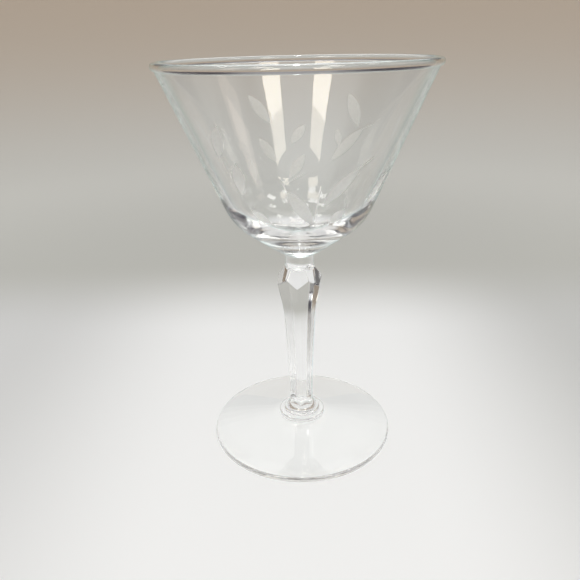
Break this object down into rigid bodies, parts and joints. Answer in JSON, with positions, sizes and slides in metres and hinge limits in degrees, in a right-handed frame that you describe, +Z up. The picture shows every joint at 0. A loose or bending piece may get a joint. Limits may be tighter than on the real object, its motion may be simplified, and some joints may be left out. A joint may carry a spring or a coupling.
{
  "type": "stemmed cocktail glass",
  "caption": "Clear stemmed cocktail glass: flared bowl with grey-cut leaves, six-sided stem with a faceted knop, stepped collars and a round foot.",
  "frame": {"origin": "middle of the foot's underside, on the surface that the glass stands on", "axes": "+Z up along the stem's axis, a corner of the six-sided stem towards -Y"},
  "size_m": [0.092, 0.092, 0.14],
  "materials": {
    "clear_glass": "polished clear glass with a faint aqua tint"
  },
  "bodies": {
    "root": {"foot": "clear_glass", "lower_collar": "clear_glass", "upper_collar": "clear_glass", "stem": "clear_glass", "bowl": "clear_glass"}
  },
  "joints": []
}
